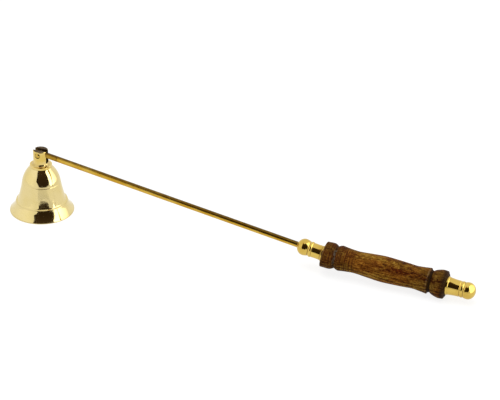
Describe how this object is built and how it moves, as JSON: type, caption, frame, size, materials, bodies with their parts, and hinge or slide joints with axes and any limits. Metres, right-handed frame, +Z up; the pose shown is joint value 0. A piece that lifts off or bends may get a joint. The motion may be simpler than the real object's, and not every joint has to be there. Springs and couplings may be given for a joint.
{
  "type": "candle snuffer",
  "caption": "Long-handled candle snuffer: a small flared bell hinged to a thin round rod, with a turned grip, a ferrule and a ball finial.",
  "frame": {"origin": "on the table under the middle of the snuffer's overall length, in its plane of symmetry", "axes": "+X from the bell towards the handle, +Z up; the bell stands on its mouth and the rear cap of the grip rests on the table"},
  "size_m": [0.2872, 0.0384, 0.0399],
  "materials": {
    "polished_brass": "mirror polished and lacquered",
    "dark_wood": "stained and waxed, satin",
    "zinc_steel": "plain zinc plate, hidden"
  },
  "bodies": {
    "grip": {"rod": "polished_brass", "front_ferrule": "polished_brass", "front_stud": "zinc_steel", "handle": "dark_wood", "rear_stud": "zinc_steel", "rear_finial": "polished_brass"},
    "bell": {"bell_cup": "polished_brass", "bell_yoke": "polished_brass", "yoke_nut": "polished_brass", "hinge_rivet": "polished_brass"}
  },
  "joints": [
    {"name": "bell_swing", "type": "hinge", "parent": "grip", "child": "bell", "pos_m": [-0.12441, 0, 0.0376], "axis": [0, 1, 0], "range_deg": [-27, 223]}
  ]
}
